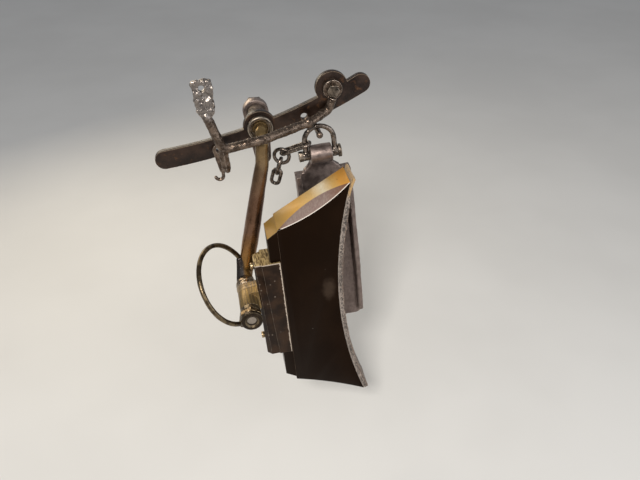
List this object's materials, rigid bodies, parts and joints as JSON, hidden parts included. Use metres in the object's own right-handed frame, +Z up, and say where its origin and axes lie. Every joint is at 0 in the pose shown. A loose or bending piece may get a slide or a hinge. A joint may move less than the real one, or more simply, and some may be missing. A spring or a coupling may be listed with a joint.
{
  "type": "stagecoach wheel brake gear",
  "caption": "Wheel brake of a horse-drawn coach: wood block faced with leather on a swinging forged arm, with its guard iron, bearing, pull lever and hanging drag shoe.",
  "frame": {"origin": "midway between the sill iron's two bolts, on its back face", "axes": "+X towards the wheel that is braked, +Y inwards under the coach, +Z up"},
  "size_m": [0.2775, 0.1972, 0.4904],
  "materials": {
    "black_iron": "black paint worn bright at the edges",
    "forged_iron": "hammered, dark brown",
    "brown_iron": "smooth, brown, rubbed",
    "worn_steel": "worn, slightly rusty",
    "dark_steel": "dark, rubbed bright on the bends",
    "black_lacquer": "gloss black lacquer on wood",
    "worn_leather": "rough, grey-brown, fibrous"
  },
  "bodies": {
    "frame": {"sill_iron": "black_iron", "bearing": "worn_steel", "keeper_iron": "forged_iron", "keeper_bolt": "forged_iron", "strap_hook": "forged_iron"},
    "arm": {"brake_arm": "brown_iron", "pin_ring": "worn_steel", "pin_nut": "worn_steel", "bow": "brown_iron", "lever": "forged_iron", "lever_nut": "worn_steel"},
    "shoe": {"brake_block": "black_lacquer", "facing": "worn_leather", "packing": "black_lacquer", "holder": "black_iron", "clamp_bolts": "worn_steel"},
    "shackle": {"shackle": "forged_iron", "shackle_pin": "worn_steel", "chain": "dark_steel"},
    "drag_shoe": {"drag_shoe": "forged_iron"}
  },
  "joints": [
    {"name": "arm_swing", "type": "hinge", "parent": "frame", "child": "arm", "pos_m": [-0.002, 0, 0.008], "axis": [0, -1, 0], "range_deg": [-8, 6]},
    {"name": "block_swivel", "type": "hinge", "parent": "arm", "child": "shoe", "pos_m": [-0.036, -0.08, -0.206], "axis": [0, -1, 0], "range_deg": [-6, 6]},
    {"name": "shackle_swing", "type": "hinge", "parent": "frame", "child": "shackle", "pos_m": [0.071, -0.021, 0.0014], "axis": [0, -1, 0], "range_deg": [-12, 6]},
    {"name": "drag_shoe_swing", "type": "hinge", "parent": "shackle", "child": "drag_shoe", "pos_m": [0.07424, -0.021, -0.02943], "axis": [0.9945, 0, 0.1045], "range_deg": [-2, 40]}
  ]
}
